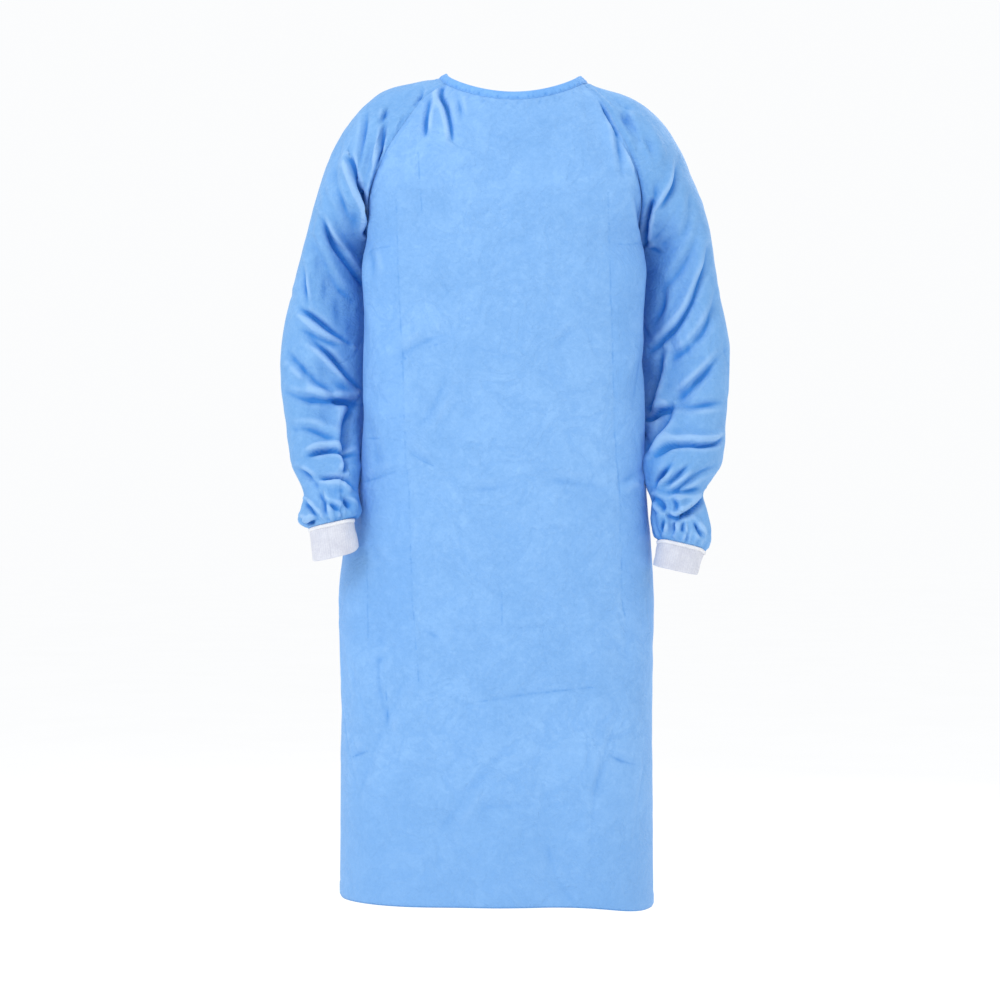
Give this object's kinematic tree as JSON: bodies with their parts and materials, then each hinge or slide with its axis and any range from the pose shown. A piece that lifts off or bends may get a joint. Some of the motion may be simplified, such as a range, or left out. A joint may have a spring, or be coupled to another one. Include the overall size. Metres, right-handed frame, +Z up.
{
  "type": "isolation gown",
  "caption": "Back-closing isolation gown with raglan sleeves, knitted cuffs and a bound neck, filled out as it is when worn.",
  "frame": {"origin": "the middle of the neck opening, level with the shoulders that hold the gown up", "axes": "+X to the right of someone who looks at the gown's front, +Y towards its back, +Z up; the front faces -Y"},
  "size_m": [0.6467, 0.3063, 1.1934],
  "materials": {
    "gown_cloth": "matt non-woven",
    "cuff_knit": "ribbed knit",
    "binding_cloth": "matt non-woven, folded",
    "tie_cloth": "matt non-woven, folded"
  },
  "bodies": {
    "root": {"front_panel": "gown_cloth", "back_panel_left": "gown_cloth", "back_panel_right": "gown_cloth", "sleeve_left": "gown_cloth", "sleeve_right": "gown_cloth", "cuff_left": "cuff_knit", "cuff_right": "cuff_knit", "neck_binding": "binding_cloth", "neck_tab": "binding_cloth", "waist_tie_left": "tie_cloth", "waist_tie_right": "tie_cloth", "waist_knot": "tie_cloth", "tie_end_left": "tie_cloth", "tie_end_right": "tie_cloth"}
  },
  "joints": []
}
